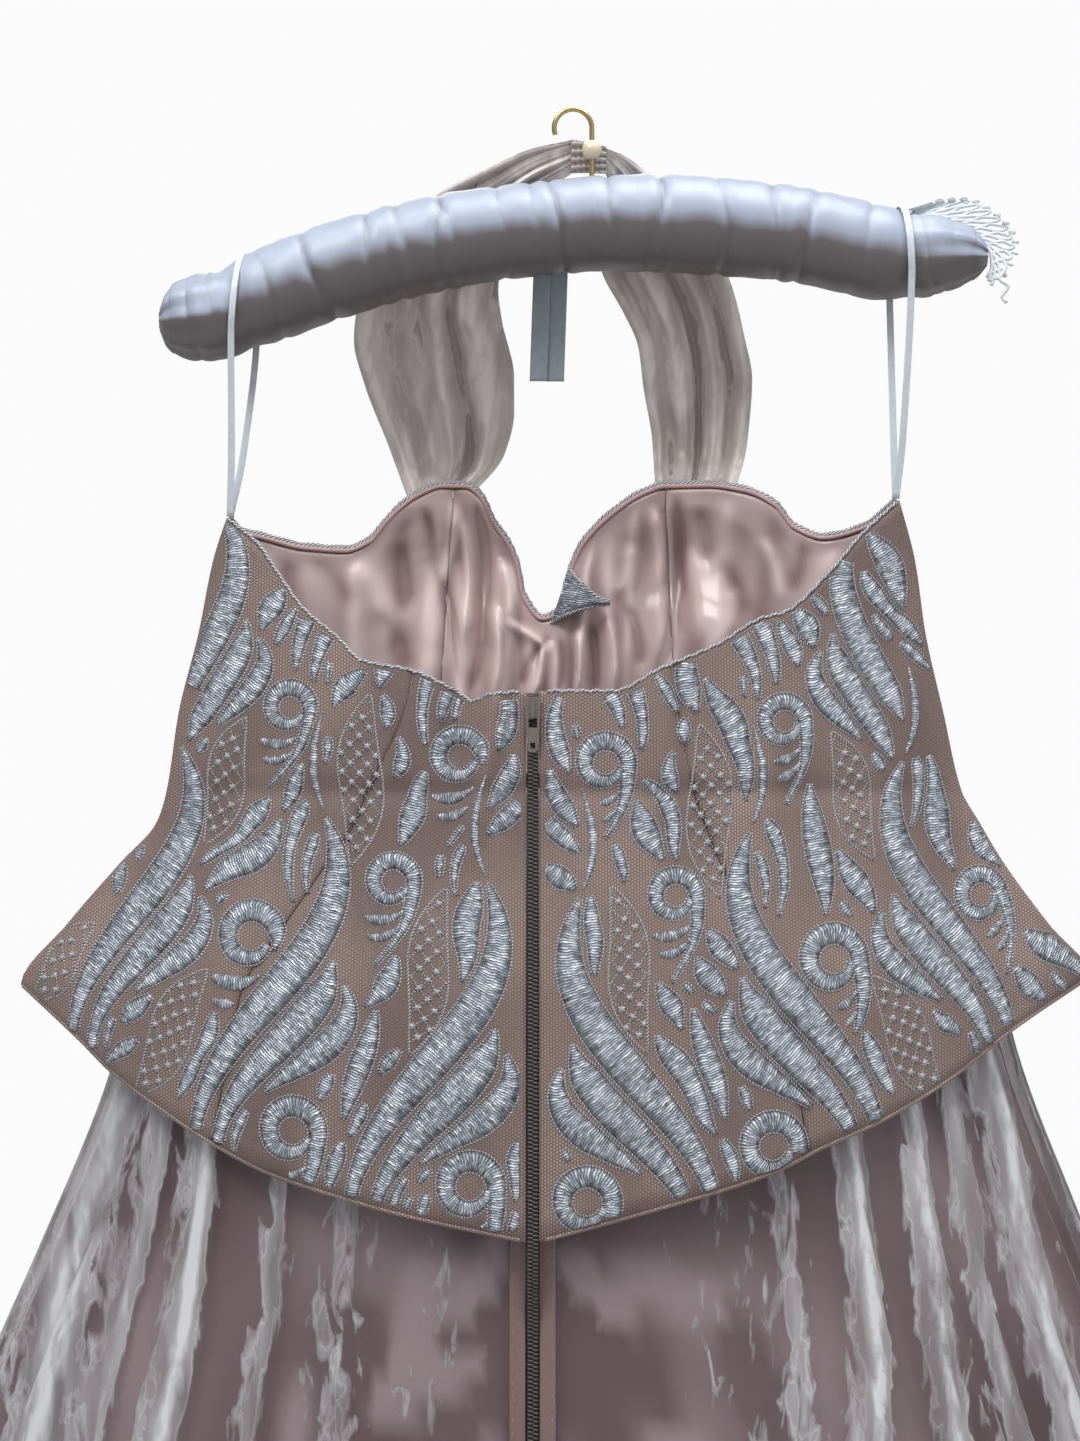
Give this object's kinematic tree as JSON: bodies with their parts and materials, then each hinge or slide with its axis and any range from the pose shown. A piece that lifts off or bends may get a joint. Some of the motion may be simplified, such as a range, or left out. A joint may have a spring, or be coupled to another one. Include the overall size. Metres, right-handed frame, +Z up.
{
  "type": "halter-neck evening dress on a padded hanger",
  "caption": "Halter-neck evening dress: embroidered zip-back bodice with a peplum, organza overskirt over satin, hung on a ruched satin padded hanger with a wire hook",
  "frame": {"origin": "the point inside the hanger's hook where a rail carries it, at the top of the hook's inner side", "axes": "+Z up. The dress's back, with the zip, faces -Y and is the side the picture shows; its front and cups face +Y. +X is to the right seen from the back. The side seams and the hanger's arm lie close to the XZ plane"},
  "size_m": [1.0526, 0.434, 1.4228],
  "materials": {
    "embroidered_tulle": "taupe tulle with raised silver-blue satin-stitch embroidery",
    "lining_satin": "dusky pink lustrous satin",
    "organza": "sheer mauve-grey crystal organza",
    "skirt_satin": "soft mauve-brown satin",
    "hanger_satin": "ruched pale blue-silver satin over padding",
    "loop_tape": "pale satin tape",
    "grey_ribbon": "grey-blue satin ribbon",
    "lace": "white crochet lace",
    "gold_wire": "polished thin wire",
    "pearl": "cream pearl lustre",
    "zip_tape": "dark grey-brown woven tape with a nylon coil",
    "zip_metal": "bronze-grey die-cast, worn at the edges"
  },
  "bodies": {
    "dress": {"centre_back_left": "embroidered_tulle", "centre_back_right": "embroidered_tulle", "side_back_left": "embroidered_tulle", "side_back_right": "embroidered_tulle", "centre_front": "embroidered_tulle", "side_front_left": "embroidered_tulle", "side_front_right": "embroidered_tulle", "lining_centre": "lining_satin", "lining_left": "lining_satin", "lining_right": "lining_satin", "overskirt_back_left": "organza", "overskirt_back_right": "organza", "overskirt_front": "organza", "neck_band_left": "organza", "neck_band_right": "organza", "neck_tab": "organza", "underskirt_back_left": "skirt_satin", "underskirt_back_right": "skirt_satin", "underskirt_front": "skirt_satin", "hanger_pad": "hanger_satin", "hanging_loop_left": "loop_tape", "hanging_loop_right": "loop_tape", "ribbon_tail_left": "grey_ribbon", "ribbon_tail_right": "grey_ribbon", "hanger_lace": "lace", "hook": "gold_wire", "hook_bead": "pearl", "zip_chain": "zip_tape", "zip_slider": "zip_metal"},
    "pull_tab": {"zip_pull": "zip_metal"}
  },
  "joints": [
    {"name": "pull_tab_swing", "type": "hinge", "parent": "dress", "child": "pull_tab", "pos_m": [-0.02, -0.04441, -0.3002], "axis": [-1, 0, 0], "range_deg": [0, 160]}
  ]
}
